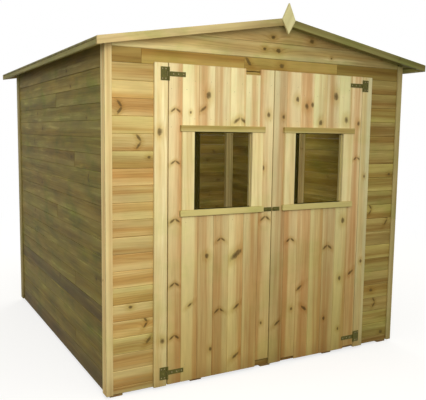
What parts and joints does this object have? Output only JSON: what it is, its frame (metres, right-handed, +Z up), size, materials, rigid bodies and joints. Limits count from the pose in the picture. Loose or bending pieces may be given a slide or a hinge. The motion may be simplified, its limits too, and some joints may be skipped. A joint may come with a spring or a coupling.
{
  "type": "wooden garden shed",
  "caption": "Wooden apex-roof garden shed of horizontal boards, with a pair of vertically boarded doors that open outwards, a window in each door, tee hinges, a bolt and a gable finial.",
  "frame": {"origin": "on the ground, under the middle of the floor, on the underside of the middle bearer", "axes": "+X to the right along the front, -Y out of the front, +Z up"},
  "size_m": [2.29, 2.5953, 2.2278],
  "materials": {
    "cladding": "pressure-treated softwood boards, sawn smooth",
    "corner_strips": "planed softwood strip",
    "door_boards": "planed tongued and grooved softwood boards",
    "window_battens": "planed softwood batten",
    "barge_boards": "planed softwood board",
    "finial": "planed softwood",
    "roof_boards": "pressure-treated softwood boards",
    "floor_timber": "pressure-treated softwood",
    "framing": "sawn softwood",
    "window_glass": "clear flat pane",
    "ironwork": "black painted steel"
  },
  "bodies": {
    "shed": {"back_barge_boards": "barge_boards", "back_gable": "cladding", "back_left_corner_strips": "corner_strips", "back_right_corner_strips": "corner_strips", "back_wall": "cladding", "back_wall_frame": "framing", "door_header": "cladding", "door_sill": "cladding", "eaves_battens": "roof_boards", "finial": "finial", "floor_bearers": "floor_timber", "floor_deck": "floor_timber", "front_barge_boards": "barge_boards", "front_gable": "cladding", "front_left_corner_strips": "corner_strips", "front_right_corner_strips": "corner_strips", "front_wall_frame": "framing", "hinge_plates": "ironwork", "left_door_trim": "door_boards", "left_eaves_board": "cladding", "left_front_panel": "cladding", "left_roof_boards": "roof_boards", "left_wall": "cladding", "left_wall_frame": "framing", "ridge_beam": "framing", "right_door_trim": "door_boards", "right_eaves_board": "cladding", "right_front_panel": "cladding", "right_roof_boards": "roof_boards", "right_wall": "cladding", "right_wall_frame": "framing", "roof_purlins": "framing"},
    "left_door": {"door_bolt": "ironwork", "left_door_boards": "door_boards", "left_door_ledges": "framing", "left_hinge_straps": "ironwork", "left_window_battens": "window_battens", "left_window_glass": "window_glass"},
    "right_door": {"bolt_keep": "ironwork", "right_door_boards": "door_boards", "right_door_ledges": "framing", "right_hinge_straps": "ironwork", "right_window_battens": "window_battens", "right_window_glass": "window_glass"}
  },
  "joints": [
    {"name": "left_door_hinge", "type": "hinge", "parent": "shed", "child": "left_door", "pos_m": [-0.7025, -1.1513, 0.095], "axis": [0, 0, -1], "range_deg": [0, 165]},
    {"name": "right_door_hinge", "type": "hinge", "parent": "shed", "child": "right_door", "pos_m": [0.7025, -1.1513, 0.095], "axis": [0, 0, 1], "range_deg": [0, 165]}
  ]
}
